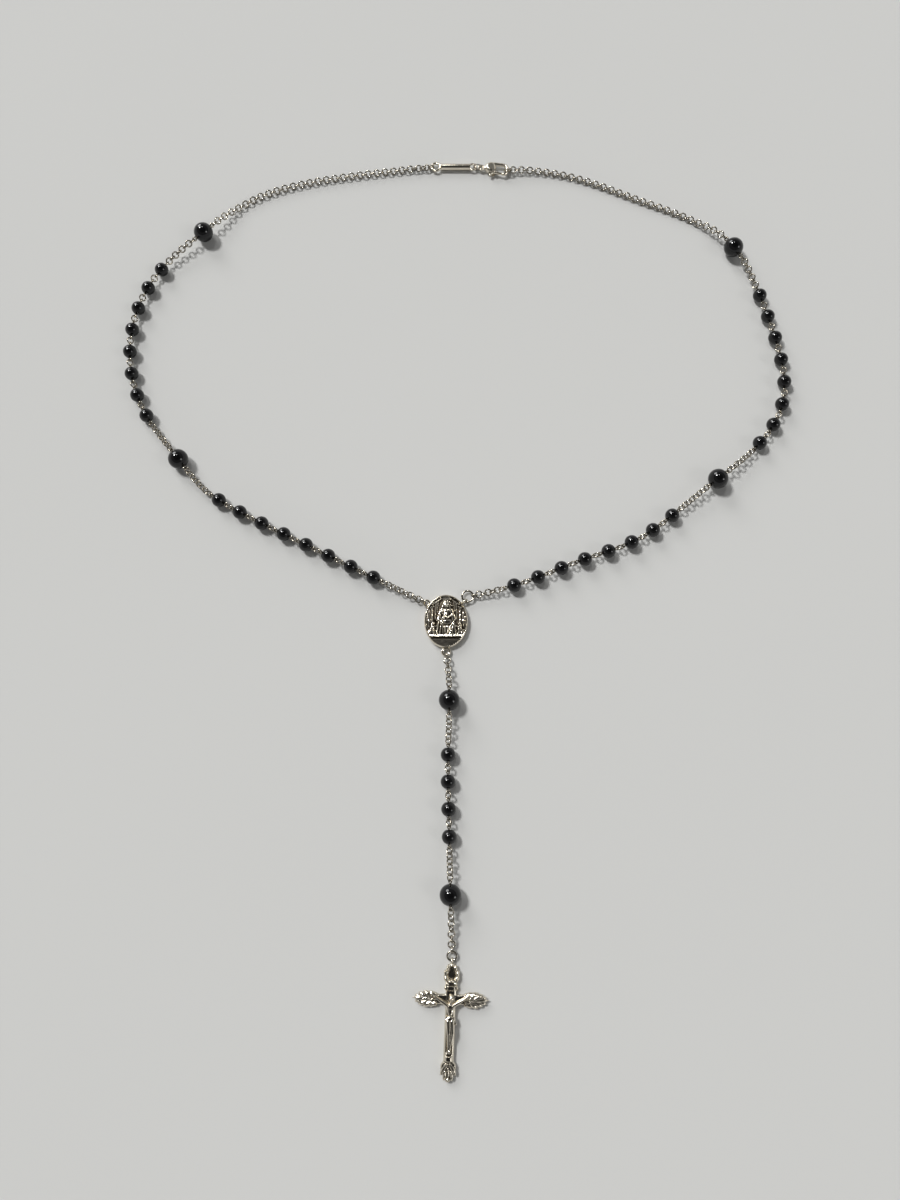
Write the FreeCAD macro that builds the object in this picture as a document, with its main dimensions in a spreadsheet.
"""Rosary: a medal, two beaded strands that meet at a lobster clasp, and a pendant with a crucifix.

Frame: +Z up, the rosary lies on the plane Z = 0. The origin is the middle of the medal's flat
back. +Y runs from the medal towards the clasp, and +X towards the right strand.
Every chain is made of real rings that pass through each other. A strand is walked from the medal
outwards: rings and bead pins are set one after another along a route, each as far from the last
as their sizes allow, and the long top chains take as many links as the rest of the route needs.
"""
import FreeCAD
import Part
import Sketcher
import math
import os
from FreeCAD import Placement, Rotation, Vector

# ---------------------------------------------------------------- driving dimensions (mm, degrees)
SIZES = [
    ("loop_width", 204.0, "width of the laid-out loop, bead centre to bead centre"),
    ("loop_height", 146.0, "height of the laid-out loop, medal ears to tag bar"),
    ("link_ring", 0.95, "chain link: radius of its wire's centre line"),
    ("link_wire", 0.46, "chain link: wire diameter"),
    ("slack", 0.96, "distance between linked rings, as a share of the pulled tight distance"),
    ("small_bead", 4.2, "small bead diameter"),
    ("large_bead", 6.0, "large bead diameter"),
    ("pin_wire", 0.42, "eye pin: wire diameter"),
    ("pin_loop", 0.55, "eye pin: radius of a loop's centre line"),
    ("bore_clearance", 0.06, "radial clearance of a pin in its bead"),
    ("mouth_radius", 0.75, "countersink at a bead's bore: radius"),
    ("mouth_depth", 0.45, "countersink at a bead's bore: depth"),
    ("loop_sink", 0.13, "how far an eye pin's loop sits inside the countersink"),
    ("medal_width", 12.8, "oval medal: width"),
    ("medal_height", 15.8, "oval medal: height"),
    ("medal_thickness", 2.0, "oval medal: thickness at the rim"),
    ("rim_width", 0.45, "oval medal: width of the raised rim"),
    ("field_depth", 0.5, "oval medal: depth of the field below the rim"),
    ("ground_width", 0.5, "oval medal: width of the straight ground line"),
    ("ear_ring", 0.85, "medal's upper ears: radius of the centre line"),
    ("ear_wire", 0.6, "medal's upper ears: wire diameter"),
    ("drop_ear_ring", 1.05, "medal's bottom ear: radius of the centre line"),
    ("drop_ear_wire", 0.75, "medal's bottom ear: wire diameter"),
    ("jump_ring", 1.65, "right jump ring: radius of the centre line"),
    ("jump_wire", 0.6, "right jump ring: wire diameter"),
    ("bar_length", 8.8, "tag bar: length between its rings"),
    ("bar_thickness", 2.0, "tag bar: diameter"),
    ("bar_ring", 1.35, "tag bar: first ring, radius of the centre line"),
    ("bar_ring_wire", 0.8, "tag bar: first ring, wire diameter"),
    ("bar_end_ring", 1.1, "tag bar: second ring, radius of the centre line"),
    ("bar_end_wire", 0.66, "tag bar: second ring, wire diameter"),
    ("clasp_link", 1.15, "link between tag bar and clasp: radius of the centre line"),
    ("clasp_link_wire", 0.5, "link between tag bar and clasp: wire diameter"),
    ("clasp_eye", 0.75, "clasp: eye, radius of the centre line"),
    ("clasp_eye_wire", 0.7, "clasp: eye, wire diameter"),
    ("clasp_neck", 0.5, "clasp: neck from the eye's centre line to the housing"),
    ("neck_width", 1.1, "clasp: diameter of the neck"),
    ("pod_length", 3.4, "clasp: length of the housing behind the hook"),
    ("pod_thickness", 2.2, "clasp: thickness of the housing"),
    ("hook_ring", 1.75, "clasp: hook, radius of the centre line"),
    ("hook_wire", 1.15, "clasp: hook, wire diameter"),
    ("hook_reach", 2.2, "clasp: straight part of the hook"),
    ("lever_thickness", 0.9, "clasp lever: thickness"),
    ("lever_clearance", 0.1, "clasp lever: clearance on each side"),
    ("rivet_radius", 0.3, "clasp rivet: radius"),
    ("rivet_clearance", 0.05, "clasp lever: radial clearance on the rivet"),
    ("spring_wire", 0.12, "clasp spring: wire diameter"),
    ("spring_radius", 0.3, "clasp spring: radius of its turns"),
    ("end_ring", 1.3, "end ring: radius of the centre line"),
    ("end_wire", 0.56, "end ring: wire diameter"),
    ("drop_ring", 1.25, "crucifix jump ring: radius of the centre line"),
    ("drop_wire", 0.55, "crucifix jump ring: wire diameter"),
    ("bail_ring", 0.65, "crucifix bail: radius of the centre line"),
    ("bail_wire", 0.6, "crucifix bail: wire diameter"),
    ("cross_width", 20.8, "crucifix: width across the arms"),
    ("cross_top", 9.1, "crucifix: from the crossing to the top"),
    ("cross_foot", 20.6, "crucifix: from the crossing to the foot"),
    ("cross_shaft", 3.0, "crucifix: width of shaft and arms"),
    ("cross_thickness", 1.8, "crucifix: thickness"),
    ("end_length", 6.4, "crucifix: length of the ornament on an arm's end"),
    ("end_width", 4.8, "crucifix: width of the ornament on an arm's end"),
    ("corpus_height", 13.6, "figure: from feet to the top of the head"),
    ("corpus_depth", 1.5, "figure: how far it stands out from the cross"),
]

doc = FreeCAD.newDocument("rosary")
sheet = doc.addObject("Spreadsheet::Sheet", "sizes")
for row, (name, value, note) in enumerate(SIZES, start=1):
    sheet.set(f"A{row}", name)
    sheet.set(f"B{row}", str(value))
    sheet.set(f"C{row}", note)
    sheet.setAlias(f"B{row}", name)
doc.recompute()


def size(name):
    """A driving dimension, read from the sheet."""
    return float(sheet.get(name))


# ---------------------------------------------------------------- document helpers
def add(kind, name, **sizes):
    """A document object whose properties are bound to expressions on the sheet."""
    obj = doc.addObject(kind, name)
    for prop, rule in sizes.items():
        obj.setExpression(prop, rule)
    return obj


def place(obj, at=Vector(), turn=Rotation()):
    obj.Placement = Placement(at, turn)
    return obj


def fuse(name, pieces):
    obj = doc.addObject("Part::MultiFuse", name)
    obj.Shapes = pieces
    return obj


def cut(name, base, tool):
    obj = doc.addObject("Part::Cut", name)
    obj.Base = base
    obj.Tool = tool
    return obj


def ring(name, radius_rule, wire_rule, at=Vector(), turn=Rotation()):
    """A closed wire ring, flat in its own XY plane, with its seam at +Y, away from its neighbours."""
    obj = add("Part::Torus", name, Radius1=radius_rule, Radius2=f"{wire_rule} / 2")
    return place(obj, at, turn.multiply(Rotation(Vector(0, 0, 1), 90)))


def oval(name, half_x, half_y, thickness, at=Vector()):
    """A flat oval plate; half_x and half_y are rules, and the longer one is found from their values."""
    outline = doc.addObject("Part::Ellipse", name + "_outline")
    tall = half_y[1] > half_x[1]
    outline.setExpression("MajorRadius", half_y[0] if tall else half_x[0])
    outline.setExpression("MinorRadius", half_x[0] if tall else half_y[0])
    place(outline, at, Rotation(Vector(0, 0, 1), 90 if tall else 0))
    plate = doc.addObject("Part::Extrusion", name)
    plate.Base = outline
    plate.DirMode = "Custom"
    plate.Dir = Vector(0, 0, 1)
    plate.Solid = True
    plate.setExpression("LengthFwd", thickness)
    return plate


def origin_plane(body, role):
    return next(f for f in body.Origin.OriginFeatures if f.Role == role)


def sketch_on(body, name, role="XY_Plane"):
    sketch = body.newObject("Sketcher::SketchObject", name)
    sketch.AttachmentSupport = (origin_plane(body, role), [""])
    sketch.MapMode = "FlatFace"
    return sketch


def polyline(sketch, points, rules):
    """A closed outline of straight sides. rules gives each corner's x and y as sheet expressions."""
    count = len(points)
    for i, (x, y) in enumerate(points):
        x2, y2 = points[(i + 1) % count]
        sketch.addGeometry(Part.LineSegment(Vector(x, y, 0), Vector(x2, y2, 0)), False)
    for i in range(count):
        sketch.addConstraint(Sketcher.Constraint("Coincident", i, 2, (i + 1) % count, 1))
    pin_corners(sketch, points, rules)


def pin_corners(sketch, points, rules):
    """Hold corner i, the start of edge i, at its x and y from the sketch's origin."""
    for i, (values, rule) in enumerate(zip(points, rules)):
        for kind, value, text in zip(("DistanceX", "DistanceY"), values, rule):
            index = sketch.addConstraint(Sketcher.Constraint(kind, -1, 1, i, 1, value))
            label = f"{kind}_{i}"
            sketch.renameConstraint(index, label)
            sketch.setExpression(f"Constraints.{label}", text)


# ---------------------------------------------------------------- master pieces, each at the origin
def make_bead(name, diameter_name):
    """A round bead turned about its bore, which runs along X and is countersunk at both mouths."""
    body = doc.addObject("PartDesign::Body", name)
    sketch = sketch_on(body, name + "_profile")
    radius = size(diameter_name) / 2
    bore = size("pin_wire") / 2 + size("bore_clearance")
    mouth = size("mouth_radius")
    rim = math.sqrt(radius**2 - mouth**2)
    inner = rim - size("mouth_depth")
    corners = [(-inner, bore), (inner, bore), (rim, mouth), (-rim, mouth)]
    bore_rule = "sizes.pin_wire / 2 + sizes.bore_clearance"
    rim_rule = f"sqrt(pow(sizes.{diameter_name} / 2; 2) - pow(sizes.mouth_radius; 2))"
    rules = [
        (f"sizes.mouth_depth - {rim_rule}", bore_rule),
        (f"{rim_rule} - sizes.mouth_depth", bore_rule),
        (rim_rule, "sizes.mouth_radius"),
        (f"-{rim_rule}", "sizes.mouth_radius"),
    ]
    for start, end in zip(corners[:2], corners[1:3]):
        sketch.addGeometry(Part.LineSegment(Vector(*start, 0), Vector(*end, 0)), False)
    angle = math.atan2(mouth, rim)
    sphere = Part.Circle(Vector(), Vector(0, 0, 1), radius)
    sketch.addGeometry(Part.ArcOfCircle(sphere, angle, math.pi - angle), False)
    sketch.addGeometry(Part.LineSegment(Vector(*corners[3], 0), Vector(*corners[0], 0)), False)
    links = [(0, 2, 1, 1), (1, 2, 2, 1), (2, 2, 3, 1), (3, 2, 0, 1)]
    for link in links:
        sketch.addConstraint(Sketcher.Constraint("Coincident", *link))
    sketch.addConstraint(Sketcher.Constraint("Coincident", 2, 3, -1, 1))
    pin_corners(sketch, corners[:3], rules[:3])
    index = sketch.addConstraint(Sketcher.Constraint("DistanceX", -1, 1, 3, 1, -rim))
    sketch.renameConstraint(index, "far_rim")
    sketch.setExpression("Constraints.far_rim", rules[3][0])
    turned = body.newObject("PartDesign::Revolution", name + "_turned")
    turned.Profile = sketch
    turned.ReferenceAxis = (sketch, ["H_Axis"])
    turned.Angle = 360.0
    sketch.Visibility = False
    return body


def make_eye_pin(name, diameter_name):
    """A straight wire along X that ends in a loop at both sides, the loops in the XY plane."""
    reach = eye_reach_rule(diameter_name)
    shaft = add(
        "Part::Cylinder",
        name + "_shaft",
        Radius="sizes.pin_wire / 2",
        Height=f"2 * {reach} - 2 * sizes.pin_loop",
    )
    half = eye_reach(diameter_name) - size("pin_loop")
    place(shaft, Vector(-half, 0, 0), Rotation(Vector(0, 1, 0), 90))
    shaft.setExpression("Placement.Base.x", f"sizes.pin_loop - {reach}")
    pieces = [shaft]
    for side, sign in (("a", "-"), ("b", "")):
        loop = ring(f"{name}_loop_{side}", "sizes.pin_loop", "sizes.pin_wire")
        loop.setExpression("Placement.Base.x", f"{sign}{reach}")
        pieces.append(loop)
    return fuse(name, pieces)


def eye_reach_rule(diameter_name):
    return f"(sizes.{diameter_name} / 2 + sizes.pin_loop + sizes.pin_wire / 2 - sizes.loop_sink)"


def eye_reach(diameter_name):
    """From a bead's centre to the centre of its pin's loop."""
    loop = size("pin_loop") + size("pin_wire") / 2
    return size(diameter_name) / 2 + loop - size("loop_sink")


link_master = ring("link_master", "sizes.link_ring", "sizes.link_wire")
jump_master = ring("jump_master", "sizes.jump_ring", "sizes.jump_wire")
end_master = ring("end_master", "sizes.end_ring", "sizes.end_wire")
drop_master = ring("drop_master", "sizes.drop_ring", "sizes.drop_wire")
masters = {"link": link_master, "jump": jump_master, "end": end_master, "drop": drop_master}
for label in ("small", "large"):
    masters[label + "_bead"] = make_bead(label + "_bead_master", label + "_bead")
    masters[label + "_pin"] = make_eye_pin(label + "_pin_master", label + "_bead")
doc.recompute()

# ---------------------------------------------------------------- how rings hold each other
BEND, LIFT = "bend", "lift"
RING_SIZES = {
    "link": ("link_ring", "link_wire"),
    "loop": ("pin_loop", "pin_wire"),
    "ear": ("ear_ring", "ear_wire"),
    "drop_ear": ("drop_ear_ring", "drop_ear_wire"),
    "jump": ("jump_ring", "jump_wire"),
    "bar": ("bar_ring", "bar_ring_wire"),
    "bar_end": ("bar_end_ring", "bar_end_wire"),
    "clasp_link": ("clasp_link", "clasp_link_wire"),
    "clasp_eye": ("clasp_eye", "clasp_eye_wire"),
    "hook": ("hook_ring", "hook_wire"),
    "end": ("end_ring", "end_wire"),
    "drop": ("drop_ring", "drop_wire"),
    "bail": ("bail_ring", "bail_wire"),
}


def ring_radius(kind):
    return size(RING_SIZES[kind][0])


def wire_radius(kind):
    return size(RING_SIZES[kind][1]) / 2


def tight(kind_a, kind_b):
    """Distance between the centres of two linked rings pulled tight."""
    inner_a = ring_radius(kind_a) - wire_radius(kind_a)
    return inner_a + ring_radius(kind_b) - wire_radius(kind_b)


def ring_end(at, kind, roll):
    """One of two linked rings: its centre, kind, and how far it is turned from lying flat."""
    return dict(at=at, kind=kind, roll=roll)


def upright(end):
    """How nearly a ring stands on edge, from 0 to 1."""
    return math.sin(math.radians(end["roll"])) ** 2


def hinge_spot(a, b, swing):
    """Where two linked rings turn on each other: on the wire that lies along the hinge's axis.

    A bend turns about the wire of the ring that stands, a lift about the wire of the one that
    lies flat. Rings turned half way take a point between their wires.
    """
    way = b["at"] - a["at"]
    level = Vector(way.x, way.y, 0).normalize()
    on_a = a["at"] + level * ring_radius(a["kind"])
    on_b = b["at"] - level * ring_radius(b["kind"])
    share = upright(a) if swing == BEND else 1 - upright(a)
    return on_a * share + on_b * (1 - share)


# ---------------------------------------------------------------- medal
EAR_PARAMETERS = {"left": 141.0, "right": 43.0}
HALF_WIDTH = ("sizes.medal_width / 2", size("medal_width") / 2)
HALF_HEIGHT = ("sizes.medal_height / 2", size("medal_height") / 2)
GROUND_LINE = -0.29
UP = Vector(0, 0, 1)


def medal_ear(side):
    """Centre and outward direction of an upper ear, which touches the oval's edge.

    The left ear lies flat, and the right one stands and is no lower than the medal's back."""
    angle = math.radians(EAR_PARAMETERS[side])
    half_x, half_y = size("medal_width") / 2, size("medal_height") / 2
    edge = Vector(half_x * math.cos(angle), half_y * math.sin(angle), 0)
    outward = Vector(math.cos(angle) / half_x, math.sin(angle) / half_y, 0).normalize()
    middle = Vector(0, 0, size("medal_thickness") / 2)
    if side == "right":
        middle.z = max(middle.z, size("ear_ring") + size("ear_wire") / 2)
    return edge + outward * size("ear_ring") + middle, outward


def make_medal():
    plate = oval("medal_plate", HALF_WIDTH, HALF_HEIGHT, "sizes.medal_thickness")
    rim = size("rim_width")
    inner_x = (f"{HALF_WIDTH[0]} - sizes.rim_width", HALF_WIDTH[1] - rim)
    inner_y = (f"{HALF_HEIGHT[0]} - sizes.rim_width", HALF_HEIGHT[1] - rim)
    floor = Vector(0, 0, size("medal_thickness") - size("field_depth"))
    field = oval("medal_field", inner_x, inner_y, "sizes.field_depth", floor)
    line = add(
        "Part::Box",
        "medal_ground",
        Length="sizes.medal_width",
        Width="sizes.ground_width",
        Height="sizes.medal_thickness",
    )
    place(line, Vector(-HALF_WIDTH[1], GROUND_LINE * size("medal_height"), 0))
    blank = cut("medal_blank", plate, field)
    ground = doc.addObject("Part::MultiCommon", "medal_ground_line")
    ground.Shapes = [plate, line]
    pieces = [blank, ground]
    flat_centre, _ = medal_ear("left")
    pieces.append(ring("ear_left", "sizes.ear_ring", "sizes.ear_wire", flat_centre))
    centre, outward = medal_ear("right")
    standing = Rotation(outward, UP, outward.cross(UP), "XYZ")
    pieces.append(ring("ear_right", "sizes.ear_ring", "sizes.ear_wire", centre, standing))
    drop = ring("ear_bottom", "sizes.drop_ear_ring", "sizes.drop_ear_wire", drop_ear())
    pieces.append(drop)
    return fuse("medal", pieces)


def drop_ear():
    below = size("medal_height") / 2 + size("drop_ear_ring")
    return Vector(0, -below, size("medal_thickness") / 2)


# ---------------------------------------------------------------- strands
# Routes are drawn for a loop 204 wide and 146 high, from the medal outwards, and scale with it.
DRAWN_WIDTH, DRAWN_HEIGHT = 204.0, 146.0
LEFT_ROUTE = [
    (-21.6, 13.0), (-43.8, 24.0), (-62.4, 33.4), (-72.5, 40.0), (-81.2, 50.0), (-92.2, 64.6),
    (-97.6, 79.0), (-98.2, 93.0), (-94.2, 107.0), (-87.5, 117.0), (-77.9, 125.6),
    (-65.4, 137.4), (-52.5, 143.4), (-33.1, 147.6), (-13.5, 150.2), (-3.4, 151.2),
]
RIGHT_ROUTE = [
    (21.5, 11.0), (42.3, 19.0), (57.0, 24.6), (70.5, 34.4), (83.5, 44.6), (97.0, 56.8),
    (103.6, 69.0), (104.0, 82.0), (101.4, 95.0), (98.2, 106.5), (91.8, 120.4),
    (82.6, 129.6), (64.4, 138.2), (42.0, 147.2),
]
PENDANT_ROUTE = [(1.0, -23.6), (0.6, -39.3), (0.8, -53.8), (1.3, -76.7), (1.7, -92.3), (1.7, -130.0)]
JUMP_WAY = 57.0
HANG_HEIGHT = 1.5
LANDING_RUN = 14.0
LIE_TWIST = 45.0
END_TILT = 65.0
TWIST_RUN = 14.0
LONGEST_SLACK = 0.97


def smooth(share):
    share = min(max(share, 0.0), 1.0)
    return share * share * (3 - 2 * share)


def half_height(twist):
    """Height of a chain's centre line on the ground, where its links are turned by a twist."""
    angle = math.radians(twist)
    return size("link_ring") * max(abs(math.sin(angle)), abs(math.cos(angle))) + size("link_wire") / 2


class Strand:
    """Rings and bead pins set one after another along a route, and the hinges between sections."""

    def __init__(self, name, start, kind, points, parent, fixed_end=None):
        scale_x = size("loop_width") / DRAWN_WIDTH
        scale_y = size("loop_height") / DRAWN_HEIGHT
        stops = [Vector(x * scale_x, y * scale_y, 0) for x, y in points]
        if fixed_end is not None:
            stops.append(Vector(fixed_end.x, fixed_end.y, 0))
        self.name = name
        self.curve = Part.BSplineCurve()
        self.curve.interpolate([Vector(start.x, start.y, 0)] + stops)
        self.travel = 0.0
        self.kind = kind
        self.height = start.z
        self.body = parent
        self.line = [ring_end(start, kind, 0.0)]
        self.items = []
        self.hinges = []
        self.turns = 0
        self.twist = 0.0

    def length(self):
        return self.curve.length()

    def spot(self, travel, height=0.0):
        at = self.curve.value(self.curve.parameterAtDistance(travel, self.curve.FirstParameter))
        return Vector(at.x, at.y, height)

    def section(self, body, joint, swing, reach, ends=None):
        """Start a new body. Its hinge goes between the last ring and the next one, or two given ends."""
        hinge = dict(name=joint, parent=self.body, child=body, swing=swing, reach=reach)
        hinge.update(after=len(self.line) - 1, ends=ends)
        self.hinges.append(hinge)
        self.body = body

    def reserve(self, count, next_kind):
        """Pulled tight distances of count links and then a ring of the next kind."""
        steps = [tight(self.kind, "link")] + [tight("link", "link")] * (count - 1)
        return steps, sum(steps) + tight("link", next_kind)

    def chain(self, count, next_kind, next_height, **lie):
        """Links up to a ring of the next kind.

        lie may give: slack; grounded, so that the links lie on the ground between their ends;
        end_twist, the twist to end with, or else links lean by LIE_TWIST; breaks, the sections
        that start at a link.
        """
        slack = lie.get("slack", size("slack"))
        grounded, end_twist = lie.get("grounded", False), lie.get("end_twist", LIE_TWIST)
        breaks, start_twist = lie.get("breaks", {}), self.twist
        steps, whole = self.reserve(count, next_kind)
        whole *= slack
        start, run, height_before = self.travel, min(whole, LANDING_RUN), self.height
        for number, step in enumerate(steps):
            if number in breaks:
                self.section(*breaks[number])
            self.travel += slack * step
            gone, left_over = self.travel - start, whole - (self.travel - start)
            twist_run = min(TWIST_RUN, whole)
            twist = start_twist + (LIE_TWIST - start_twist) * smooth(gone / twist_run)
            twist += (end_twist - LIE_TWIST) * smooth(1 - left_over / twist_run)
            low = half_height(twist) if grounded else max(HANG_HEIGHT, half_height(0))
            height = low + max(height_before - low, 0) * (1 - smooth(gone / run))
            height += max(next_height - low, 0) * (1 - smooth(left_over / run))
            self.turns += 1
            self.twist = twist
            self.put("link", self.spot(self.travel, height))
        self.travel = start + whole
        self.twist = end_twist
        self.kind, self.height = next_kind, next_height

    def put(self, kind, at, shape=None):
        """A ring at the end of the line so far; shape names the piece when it isn't a plain ring."""
        roll = 90.0 * self.turns + self.twist
        self.items.append(dict(kind=shape or kind, body=self.body, index=len(self.line), roll=roll))
        self.line.append(ring_end(at, kind, roll))

    def bead(self, label):
        """A bead on its pin: the first loop at the present place, the second where its length falls."""
        span = 2 * eye_reach(label + "_bead")
        near = self.spot(self.travel, self.height)
        far = self.travel + span
        for _ in range(6):
            far += span - (self.spot(far, self.height) - near).Length
        self.turns += 1
        self.put("loop", near, label + "_pin")
        self.travel = far
        self.line.append(ring_end(self.spot(far, self.height), "loop", self.line[-1]["roll"]))

    def beads(self, label, count):
        for number in range(count):
            if number:
                self.chain(1, "loop", size(label + "_bead") / 2)
            self.bead(label)

    def finish(self, kind, roll, piece=True):
        """The ring that ends the strand; one that is part of another piece is only marked."""
        if piece:
            self.items.append(dict(kind=kind, body=self.body, index=len(self.line), roll=roll))
        self.line.append(ring_end(self.spot(self.travel, self.height), kind, roll))

    def way(self, item):
        """Direction of a ring or pin along the strand."""
        i = item["index"]
        if item["kind"].endswith("_pin"):
            return (self.line[i + 1]["at"] - self.line[i]["at"]).normalize()
        ahead = self.line[min(i + 1, len(self.line) - 1)]["at"]
        return (ahead - self.line[max(i - 1, 0)]["at"]).normalize()

    def seat(self, item):
        """Placement of a ring or pin: its own X along the strand, rolled about it."""
        way = self.way(item)
        side = UP.cross(way).normalize()
        above = way.cross(side)
        angle = math.radians(item["roll"])
        across = side * math.cos(angle) + above * math.sin(angle)
        at = self.line[item["index"]]["at"]
        if item["kind"].endswith("_pin"):
            at = (at + self.line[item["index"] + 1]["at"]) / 2
        return Placement(at, Rotation(way, across, way.cross(across), "XYZ"))

    def settle(self):
        """Raise every ring that would reach below the ground."""
        for item in self.items:
            if item["kind"].endswith("_pin"):
                continue
            normal = self.seat(item).Rotation.multVec(Vector(0, 0, 1))
            kind = item["kind"]
            reach = ring_radius(kind) * math.sqrt(max(0.0, 1 - normal.z**2)) + wire_radius(kind)
            at = self.line[item["index"]]["at"]
            at.z = max(at.z, reach)

    def hinge_point(self, hinge):
        """Where two linked rings bear on each other, and the way from one to the other."""
        a, b = hinge["ends"] or self.line[hinge["after"] : hinge["after"] + 2]
        return hinge_spot(a, b, hinge["swing"]), b["at"] - a["at"]


SMALL_HEIGHT = size("small_bead") / 2
LARGE_HEIGHT = size("large_bead") / 2
FREE = (-30.0, 30.0)
WIDE = (-45.0, 45.0)


def walk_strand(strand, first_links, ends=None):
    """Two decades and two large beads, up to the last large bead, as six sections."""
    side = strand.name
    strand.section(f"{side}_section_1", f"{side}_medal_lift", LIFT, FREE, ends)
    strand.chain(first_links, "loop", SMALL_HEIGHT, grounded=True)
    strand.beads("small", 4)
    strand.chain(1, "loop", SMALL_HEIGHT)
    strand.section(f"{side}_section_2", f"{side}_decade_1_bend", BEND, FREE)
    strand.beads("small", 4)
    strand.chain(8, "loop", LARGE_HEIGHT)
    strand.section(f"{side}_section_3", f"{side}_large_1_lift", LIFT, FREE)
    strand.bead("large")
    strand.chain(8, "loop", SMALL_HEIGHT)
    strand.section(f"{side}_section_4", f"{side}_decade_2_bend", BEND, FREE)
    strand.beads("small", 4)
    strand.chain(1, "loop", SMALL_HEIGHT)
    strand.section(f"{side}_section_5", f"{side}_decade_2_lift", LIFT, FREE)
    strand.beads("small", 4)
    strand.chain(8, "loop", LARGE_HEIGHT)
    strand.section(f"{side}_section_6", f"{side}_large_2_bend", BEND, FREE)
    strand.bead("large")


def long_chain(strand, end_kind, end_height, end_tilt=0.0):
    """As many links as the rest of the route takes, with what is over spread as slack."""
    rest = strand.length() - strand.travel
    count = 2
    while strand.reserve(count, end_kind)[1] * LONGEST_SLACK < rest:
        count += 1
    slack = rest / strand.reserve(count, end_kind)[1]
    side = strand.name
    middle = {count // 2: (f"{side}_section_7", f"{side}_chain_lift", LIFT, FREE)}
    last = twist_for(strand, count, end_tilt)
    strand.chain(count, end_kind, end_height, slack=slack, breaks=middle, grounded=True, end_twist=last)
    print(f"{side}: {count} links in the long chain, slack {slack:.3f}")


def twist_for(strand, count, end_tilt):
    """Twist to end count more links with, for the ring after them to be end_tilt from lying flat."""
    return end_tilt if (strand.turns + count) % 2 else 90 - end_tilt


LOW_RING_HEIGHT = 1.1
left_start, _ = medal_ear("left")
left = Strand("left", left_start, "ear", LEFT_ROUTE, "medal")
walk_strand(left, 10)
long_chain(left, "bar", LOW_RING_HEIGHT)
left.section("tag_bar", "tag_bar_bend", BEND, FREE)
left.finish("bar", 0.0, piece=False)

# tag bar and clasp, in line from the end of the left strand
BAR_ANGLE, CLASP_ANGLE = 0.0, -7.0
CLASP_HEIGHT = size("pod_thickness") / 2 + 0.15
bar_way = Vector(math.cos(math.radians(BAR_ANGLE)), math.sin(math.radians(BAR_ANGLE)), 0)
clasp_way = Vector(math.cos(math.radians(CLASP_ANGLE)), math.sin(math.radians(CLASP_ANGLE)), 0)
bar_first = left.line[-1]["at"]
bar_span = size("bar_ring") + size("bar_ring_wire") / 2 + size("bar_length")
bar_span += size("bar_end_ring") + size("bar_end_wire") / 2
bar_second = bar_first + bar_way * bar_span
link_height = size("clasp_link") + size("clasp_link_wire") / 2
link_spot = bar_second + clasp_way * (size("slack") * tight("bar_end", "clasp_link"))
link_spot.z = link_height
eye_spot = link_spot + clasp_way * (size("slack") * tight("clasp_link", "clasp_eye"))
eye_spot.z = CLASP_HEIGHT
clasp_seat = Placement(eye_spot, Rotation(UP, CLASP_ANGLE))
left.section(
    "clasp", "clasp_lift", LIFT, WIDE,
    ends=[ring_end(link_spot, "clasp_link", 90.0), ring_end(eye_spot, "clasp_eye", 0.0)],
)

# clasp sizes along its own X, from the middle of its eye
POD_START = size("clasp_eye") + size("clasp_neck")
POD_END = POD_START + size("pod_length")
HOOK_CENTRE = POD_END + size("hook_reach")
HOOK_TIP_ANGLE = -70.0
END_GAP = 0.3
hook_inside = HOOK_CENTRE + size("hook_ring") - size("hook_wire") / 2
end_travel = hook_inside - END_GAP - size("end_wire") / 2 + size("end_ring")
end_spot = clasp_seat.multVec(Vector(end_travel, 0, 0))
END_HEIGHT = size("end_ring") * math.sin(math.radians(END_TILT)) + size("end_wire") / 2

ear_spot, _ = medal_ear("right")
jump_angle = math.radians(JUMP_WAY)
jump_way = Vector(math.cos(jump_angle), math.sin(jump_angle), 0)
jump_spot = ear_spot + jump_way * (size("slack") * tight("ear", "jump"))
right = Strand("right", jump_spot, "jump", RIGHT_ROUTE, "medal", fixed_end=end_spot)
walk_strand(right, 7, ends=[ring_end(ear_spot, "ear", 90.0), ring_end(jump_spot, "jump", 0.0)])
right.items.append(dict(kind="jump", body="right_section_1", index=0, roll=0.0))
long_chain(right, "end", END_HEIGHT, END_TILT)
right.finish("end", right.line[-1]["roll"] + 90)

pendant = Strand("pendant", drop_ear(), "drop_ear", PENDANT_ROUTE, "medal")
pendant.section("pendant_section_1", "pendant_medal_lift", LIFT, FREE)
pendant.chain(7, "loop", LARGE_HEIGHT, grounded=True)
pendant.bead("large")
pendant.chain(6, "loop", SMALL_HEIGHT)
pendant.section("pendant_section_2", "pendant_bend", BEND, FREE)
pendant.beads("small", 4)
pendant.chain(6, "loop", LARGE_HEIGHT)
pendant.section("pendant_section_3", "pendant_lift", LIFT, FREE)
pendant.bead("large")
pendant.chain(8, "drop", LOW_RING_HEIGHT, grounded=True, end_twist=twist_for(pendant, 8, 0.0))
pendant.finish("drop", 0.0)
for strand in (left, right, pendant):
    strand.settle()

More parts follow.
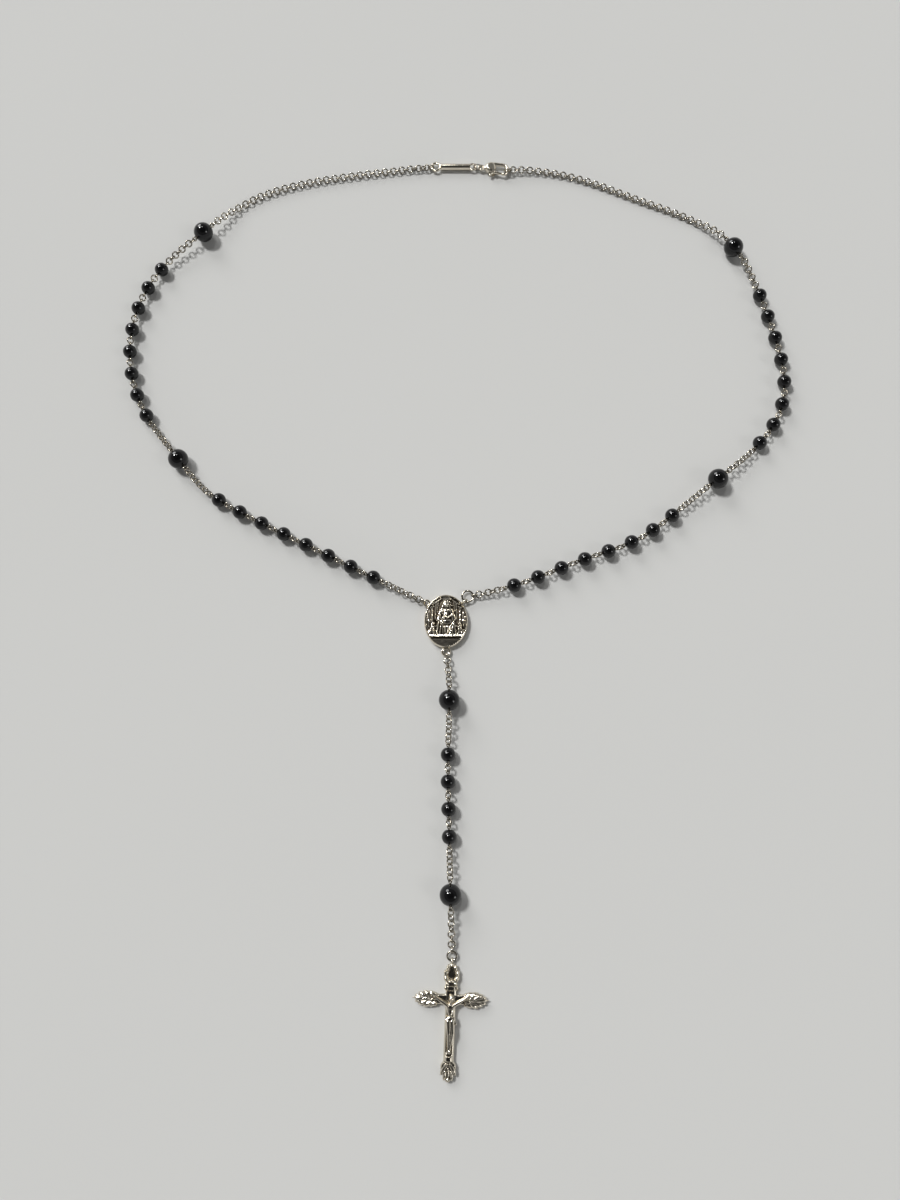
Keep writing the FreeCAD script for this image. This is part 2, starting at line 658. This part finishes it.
# crucifix, hung from the drop ring
CROSS_ANGLE = -2.0
BAIL_HEIGHT = max(size("cross_thickness") / 2, size("bail_ring") + size("bail_wire") / 2)
drop_spot = pendant.line[-1]["at"]
bail_spot = drop_spot - Vector(0, size("slack") * tight("drop", "bail"), 0)
bail_spot.z = BAIL_HEIGHT
crossing = size("cross_top") + size("bail_ring")
cross_turn = Rotation(UP, CROSS_ANGLE)
cross_seat = Placement(bail_spot - cross_turn.multVec(Vector(0, crossing, 0)), cross_turn)
cross_seat.Base.z = 0
pendant.section(
    "crucifix", "crucifix_swing", LIFT, WIDE,
    ends=[ring_end(drop_spot, "drop", 0.0), ring_end(bail_spot, "bail", 90.0)],
)


# ---------------------------------------------------------------- tag bar and clasp
def make_tag_bar():
    rod = add("Part::Cylinder", "bar_rod", Radius="sizes.bar_thickness / 2")
    rod.setExpression("Height", "sizes.bar_length + sizes.bar_ring_wire / 2 + sizes.bar_end_wire / 2")
    place(rod, Vector(size("bar_ring") + size("bar_ring_wire") / 4, 0, 0), Rotation(Vector(0, 1, 0), 90))
    first = ring("bar_first_ring", "sizes.bar_ring", "sizes.bar_ring_wire")
    second = ring("bar_second_ring", "sizes.bar_end_ring", "sizes.bar_end_wire", Vector(bar_span, 0, 0))
    bores = []
    for label, at in (("first", 0.0), ("second", bar_span)):
        bore = add("Part::Cylinder", f"bar_{label}_bore", Height="2 * sizes.bar_thickness")
        rule = "bar_ring - sizes.bar_ring_wire / 2" if label == "first" else "bar_end_ring"
        tail = "" if label == "first" else " - sizes.bar_end_wire / 2"
        bore.setExpression("Radius", f"sizes.{rule}{tail}")
        bores.append(place(bore, Vector(at, 0, -size("bar_thickness"))))
    whole = fuse("tag_bar_blank", [rod, first, second])
    bar = cut("tag_bar", whole, fuse("tag_bar_bores", bores))
    return place(bar, bar_first, Rotation(UP, BAR_ANGLE))


POD_OUTLINE = [(0.0, -0.55), (0.0, 0.55), (0.42, 1.95), (1.0, 2.32), (1.0, -2.0), (0.5, -1.9)]
LEVER_PIVOT = Vector(POD_END - 0.65, -1.15, 0)
SLOT_LENGTH, SLOT_TOP = 2.05, -0.1
HUB_RADIUS, GATE_WIDTH, TAB_WIDTH, TAB_LENGTH = 0.8, 0.8, 0.7, 1.75
GATE_END = 0.35
HEEL = Vector(-0.7, 0.15, 0)
HEEL_WIDTH, HEEL_HEIGHT = 0.7, 0.65
RIVET_HEAD, RIVET_HEAD_HEIGHT = 0.5, 0.12
SPRING_TURNS = 4


def make_clasp_body():
    """Housing with its slot, eye and rivet hole, and the round hook that curls back to the lever."""
    body = doc.addObject("PartDesign::Body", "clasp_housing")
    sketch = sketch_on(body, "clasp_outline")
    length = size("pod_length")
    points = [(POD_START + x * length, y) for x, y in POD_OUTLINE]
    start = "sizes.clasp_eye + sizes.clasp_neck"
    rules = [(f"{start} + {x} * sizes.pod_length", f"{y}") for x, y in POD_OUTLINE]
    polyline(sketch, points, rules)
    pad = body.newObject("PartDesign::Pad", "clasp_housing_pad")
    pad.Profile = sketch
    pad.SideType = "Symmetric"
    pad.setExpression("Length", "sizes.pod_thickness")
    rounding = body.newObject("PartDesign::Fillet", "clasp_housing_rounding")
    rounding.Base = (pad, ["Edge1"])
    rounding.UseAllEdges = True
    rounding.Radius = 0.4
    sketch.Visibility = False
    eye = ring("clasp_eye_ring", "sizes.clasp_eye", "sizes.clasp_eye_wire")
    neck = add("Part::Cylinder", "clasp_neck", Radius="sizes.neck_width / 2")
    neck.setExpression("Height", "sizes.clasp_neck + sizes.pod_length / 4")
    place(neck, Vector(size("clasp_eye"), 0, 0), Rotation(Vector(0, 1, 0), 90))
    arm = add("Part::Cylinder", "hook_arm", Radius="sizes.hook_wire / 2")
    arm.setExpression("Height", "sizes.hook_reach + sizes.pod_length / 3")
    arm_start = Vector(HOOK_CENTRE - size("hook_reach") - length / 3, size("hook_ring"), 0)
    place(arm, arm_start, Rotation(Vector(0, 1, 0), 90))
    bend = ring("hook_bend", "sizes.hook_ring", "sizes.hook_wire", Vector(HOOK_CENTRE, 0, 0))
    bend.Angle3 = 90 - HOOK_TIP_ANGLE
    bend.Placement.Rotation = Rotation(UP, HOOK_TIP_ANGLE)
    slot = add("Part::Box", "lever_slot", Width="sizes.medal_height")
    slot.Length = 2 * SLOT_LENGTH
    slot.setExpression("Height", "sizes.lever_thickness + 2 * sizes.lever_clearance")
    half = size("lever_thickness") / 2 + size("lever_clearance")
    place(slot, Vector(POD_END - SLOT_LENGTH, SLOT_TOP - size("medal_height"), -half))
    hole = add("Part::Cylinder", "rivet_hole", Radius="sizes.rivet_radius", Height="2 * sizes.pod_thickness")
    place(hole, LEVER_PIVOT - UP * size("pod_thickness"))
    bore = add("Part::Cylinder", "clasp_eye_bore", Height="2 * sizes.pod_thickness")
    bore.setExpression("Radius", "sizes.clasp_eye - sizes.clasp_eye_wire / 2")
    place(bore, UP * -size("pod_thickness"))
    whole = fuse("clasp_blank", [body, eye, neck, arm, bend])
    housing = cut("clasp_body", whole, fuse("clasp_cuts", [slot, hole, bore]))
    return place(housing, clasp_seat.Base, clasp_seat.Rotation)


def make_clasp_lever():
    """Hub on the rivet, gate that shuts the hook, heel that the spring pushes, and thumb tab."""
    thickness = size("lever_thickness")
    hub = add("Part::Cylinder", "lever_hub", Height="sizes.lever_thickness")
    hub.Radius = HUB_RADIUS
    tip_angle = math.radians(HOOK_TIP_ANGLE)
    tip = Vector(HOOK_CENTRE, 0, 0) + Vector(math.cos(tip_angle), math.sin(tip_angle), 0) * size("hook_ring")
    reach = tip - LEVER_PIVOT
    gate_angle = math.degrees(math.atan2(reach.y, reach.x))
    gate = add("Part::Box", "lever_gate", Height="sizes.lever_thickness")
    gate.Length = reach.Length - GATE_END
    gate.Width = GATE_WIDTH
    turn = Rotation(UP, gate_angle)
    place(gate, turn.multVec(Vector(0, -GATE_WIDTH / 2, 0)), turn)
    tab = add("Part::Box", "lever_tab", Height="sizes.lever_thickness")
    tab.Length, tab.Width = TAB_LENGTH, TAB_WIDTH
    turn = Rotation(UP, 235)
    place(tab, turn.multVec(Vector(0, -TAB_WIDTH / 2, 0)), turn)
    heel = add("Part::Box", "lever_heel", Height="sizes.lever_thickness")
    heel.Length, heel.Width = HEEL_WIDTH, HEEL_HEIGHT
    place(heel, HEEL)
    bore = add("Part::Cylinder", "lever_bore", Height="2 * sizes.lever_thickness")
    bore.setExpression("Radius", "sizes.rivet_radius + sizes.rivet_clearance")
    place(bore, UP * (-thickness / 2))
    lever = cut("clasp_lever", fuse("lever_blank", [hub, gate, tab, heel]), bore)
    return place(lever, clasp_seat.multVec(LEVER_PIVOT - UP * (thickness / 2)), clasp_seat.Rotation)


def make_clasp_rivet():
    shank = add("Part::Cylinder", "rivet_shank", Radius="sizes.rivet_radius", Height="sizes.pod_thickness")
    place(shank, UP * (-size("pod_thickness") / 2))
    pieces = [shank]
    for label, low in (("top", size("pod_thickness") / 2), ("bottom", -size("pod_thickness") / 2)):
        head = doc.addObject("Part::Cylinder", f"rivet_head_{label}")
        head.Radius, head.Height = RIVET_HEAD, RIVET_HEAD_HEIGHT
        shift = low if label == "top" else low - RIVET_HEAD_HEIGHT
        pieces.append(place(head, UP * shift))
    rivet = fuse("clasp_rivet", pieces)
    return place(rivet, clasp_seat.multVec(LEVER_PIVOT), clasp_seat.Rotation)


def make_clasp_spring():
    """A small coil along X between the slot's end and the lever's heel."""
    wall = POD_END - SLOT_LENGTH
    wire, radius = size("spring_wire"), size("spring_radius")
    room = LEVER_PIVOT.x + HEEL.x - wall - wire - 0.1
    coil = Part.makeHelix(room / SPRING_TURNS, room, radius)
    profile = Part.Wire([Part.makeCircle(wire / 2, Vector(radius, 0, 0), Vector(0, 1, 0))])
    spring = doc.addObject("Part::Feature", "clasp_spring")
    spring.Shape = Part.Wire(coil.Edges).makePipeShell([profile], True, True)
    middle = LEVER_PIVOT.y + HEEL.y + HEEL_HEIGHT / 2
    at = clasp_seat.multVec(Vector(wall + wire / 2 + 0.05, middle, 0))
    return place(spring, at, clasp_seat.Rotation.multiply(Rotation(Vector(0, 1, 0), 90)))


# ---------------------------------------------------------------- crucifix
def make_cross():
    """Shaft and arms with an oval ornament at each end, and a standing bail at the top."""
    half = size("cross_shaft") / 2
    shaft = add("Part::Box", "cross_shaft_plate", Length="sizes.cross_shaft", Height="sizes.cross_thickness")
    shaft.setExpression("Width", "sizes.cross_top + sizes.cross_foot - sizes.cross_shaft")
    place(shaft, Vector(-half, half - size("cross_foot"), 0))
    arms = add("Part::Box", "cross_arm_plate", Width="sizes.cross_shaft", Height="sizes.cross_thickness")
    arms.setExpression("Length", "sizes.cross_width - sizes.cross_shaft")
    place(arms, Vector(half - size("cross_width") / 2, -half, 0))
    pieces = [shaft, arms]
    along = ("sizes.end_length / 2", size("end_length") / 2)
    broad = ("sizes.end_width / 2", size("end_width") / 2)
    ends = {
        "left": (along, broad, Vector(along[1] - size("cross_width") / 2, 0, 0)),
        "right": (along, broad, Vector(size("cross_width") / 2 - along[1], 0, 0)),
        "top": (broad, broad, Vector(0, size("cross_top") - broad[1], 0)),
        "foot": (broad, along, Vector(0, along[1] - size("cross_foot"), 0)),
    }
    for label, (half_x, half_y, at) in ends.items():
        pieces.append(oval(f"cross_end_{label}", half_x, half_y, "sizes.cross_thickness", at))
    at = Vector(0, size("cross_top") + size("bail_ring"), BAIL_HEIGHT)
    standing = Rotation(Vector(0, 1, 0), 90)
    pieces.append(ring("cross_bail", "sizes.bail_ring", "sizes.bail_wire", at, standing))
    return place(fuse("cross", pieces), cross_seat.Base, cross_seat.Rotation)


TORSO, HIPS, HEAD = (1.25, 2.7, 1.15), (1.0, 1.2, 1.0), 0.95
ARM_REACH, ARM_RISE, ARM_RADIUS = 7.6, 1.6, (0.62, 0.36)
LEG_RADIUS = (0.75, 0.42)


def make_corpus():
    """A slim figure flat on the cross's face: head, torso, hips, joined legs and raised arms."""
    top = size("cross_thickness")
    height = size("corpus_height")
    shoulder = 0.6

    def ellipsoid(name, radii, at):
        blob = doc.addObject("Part::Ellipsoid", name)
        blob.Radius2, blob.Radius3, blob.Radius1 = radii
        blob.Angle1, blob.Angle2, blob.Angle3 = -90, 90, 360
        return place(blob, at)

    def limb(name, start, end, radii):
        bone = doc.addObject("Part::Cone", name)
        bone.Radius1, bone.Radius2 = radii
        bone.Height = (end - start).Length
        return place(bone, start, Rotation(Vector(0, 0, 1), end - start))

    chest = Vector(0, shoulder - TORSO[1] + 0.5, top)
    belly = Vector(0, shoulder - 2 * TORSO[1] + 1.2, top)
    feet = Vector(0, shoulder + 2.2 - height, top)
    pieces = [
        ellipsoid("corpus_torso", TORSO, chest),
        ellipsoid("corpus_hips", HIPS, belly),
        limb("corpus_legs", belly, feet, LEG_RADIUS),
    ]
    head = doc.addObject("Part::Sphere", "corpus_head")
    head.Radius = HEAD
    pieces.append(place(head, Vector(0.15, shoulder + 1.15, top + 0.25)))
    for label, sign in (("left", -1), ("right", 1)):
        start = Vector(sign * 0.8, shoulder - 0.4, top)
        hand = Vector(sign * ARM_REACH, shoulder - 0.4 + ARM_RISE, top)
        pieces.append(limb(f"corpus_arm_{label}", start, hand, ARM_RADIUS))
    under = doc.addObject("Part::Box", "corpus_back_cut")
    under.Length, under.Width, under.Height = 40, 60, 10
    place(under, Vector(-20, -40, top - 10))
    lift = doc.addObject("Part::Box", "corpus_front_cut")
    lift.Length, lift.Width, lift.Height = 40, 60, 10
    place(lift, Vector(-20, -40, top + size("corpus_depth")))
    corpus = cut("corpus", fuse("corpus_blank", pieces), fuse("corpus_cuts", [under, lift]))
    return place(corpus, cross_seat.Base, cross_seat.Rotation)


# ---------------------------------------------------------------- groups of repeated pieces
def copy_at(kind, seat):
    shape = masters[kind].Shape.copy()
    shape.Placement = seat.multiply(shape.Placement)
    return shape


def group(label, shapes):
    """One node of separate solids: repeated pieces that move together."""
    node = doc.addObject("Part::Feature", label)
    node.Shape = Part.makeCompound(shapes) if len(shapes) > 1 else shapes[0]
    return node


def make_strand(strand):
    """The strand's links, pins and beads as nodes by section, and each body's list of nodes."""
    groups = {}
    spins = []
    large = 0
    for item in strand.items:
        kind, body = item["kind"], item["body"]
        seat = strand.seat(item)
        if kind == "link":
            groups.setdefault((body, f"{body}_links"), []).append(copy_at("link", seat))
        elif kind.endswith("_pin"):
            groups.setdefault((body, f"{body}_eye_pins"), []).append(copy_at(kind, seat))
            if kind == "small_pin":
                groups.setdefault((body, f"{body}_beads"), []).append(copy_at("small_bead", seat))
            else:
                large += 1
                bead = f"{strand.name}_large_bead_{large}"
                groups[(bead, bead)] = [copy_at("large_bead", seat)]
                spins.append((bead, body, seat))
        else:
            label = {"jump": "right_jump_ring", "end": "end_ring", "drop": "crucifix_jump_ring"}[kind]
            groups[(body, label)] = [copy_at(kind, seat)]
    for (body, label), shapes in groups.items():
        bodies.setdefault(body, []).append(label)
        nodes[label] = group(label, shapes)
    for hinge in strand.hinges:
        at, way = strand.hinge_point(hinge)
        axis = UP if hinge["swing"] == BEND else way.cross(UP).normalize()
        joints.append(dict(hinge, at=at, axis=axis))
    for bead, body, seat in spins:
        axis = seat.Rotation.multVec(Vector(1, 0, 0))
        joints.append(dict(name=f"{bead}_spin", parent=body, child=bead, at=seat.Base, axis=axis, reach=None))


nodes, bodies, joints = {}, {"medal": ["medal"]}, []
nodes["medal"] = make_medal()
make_strand(left)
nodes["tag_bar"] = make_tag_bar()
link_way = clasp_seat.Rotation.multVec(Vector(1, 0, 0))
standing_link = Placement(link_spot, Rotation(link_way, UP, link_way.cross(UP), "XYZ"))
clasp_link_master = ring("clasp_link", "sizes.clasp_link", "sizes.clasp_link_wire")
nodes["clasp_link"] = place(clasp_link_master, standing_link.Base, standing_link.Rotation)
nodes["clasp_body"] = make_clasp_body()
nodes["clasp_rivet"] = make_clasp_rivet()
nodes["clasp_spring"] = make_clasp_spring()
nodes["clasp_lever"] = make_clasp_lever()
bodies["tag_bar"] = ["tag_bar", "clasp_link"]
bodies["clasp"] = ["clasp_body", "clasp_rivet", "clasp_spring"]
bodies["clasp_lever"] = ["clasp_lever"]
LEVER_SWING = (0.0, 25.0)
joints.append(
    dict(name="clasp_lever_press", parent="clasp", child="clasp_lever",
         at=clasp_seat.multVec(LEVER_PIVOT), axis=UP, reach=LEVER_SWING)
)
make_strand(right)
make_strand(pendant)
nodes["cross"] = make_cross()
nodes["corpus"] = make_corpus()
bodies["crucifix"] = ["cross", "corpus"]

# ---------------------------------------------------------------- check and write
doc.recompute()
failed = [o.Name for o in doc.Objects if {"Invalid", "Error"} & set(o.State)]
assert not failed, f"objects that failed: {failed}"
for label, node in nodes.items():
    node.Label = label
    shape = node.Shape
    assert not shape.isNull() and shape.isValid() and shape.Solids, f"{label} has no valid solid"
os.makedirs("parts", exist_ok=True)
for label, node in nodes.items():
    node.Shape.exportStep(f"parts/{label}.step")
box = Part.makeCompound([n.Shape for n in nodes.values()]).BoundBox
print(f"{len(nodes)} nodes, {sum(len(n.Shape.Solids) for n in nodes.values())} solids")
print(f"box X {box.XMin:.2f} {box.XMax:.2f}  Y {box.YMin:.2f} {box.YMax:.2f}  Z {box.ZMin:.2f} {box.ZMax:.2f}")
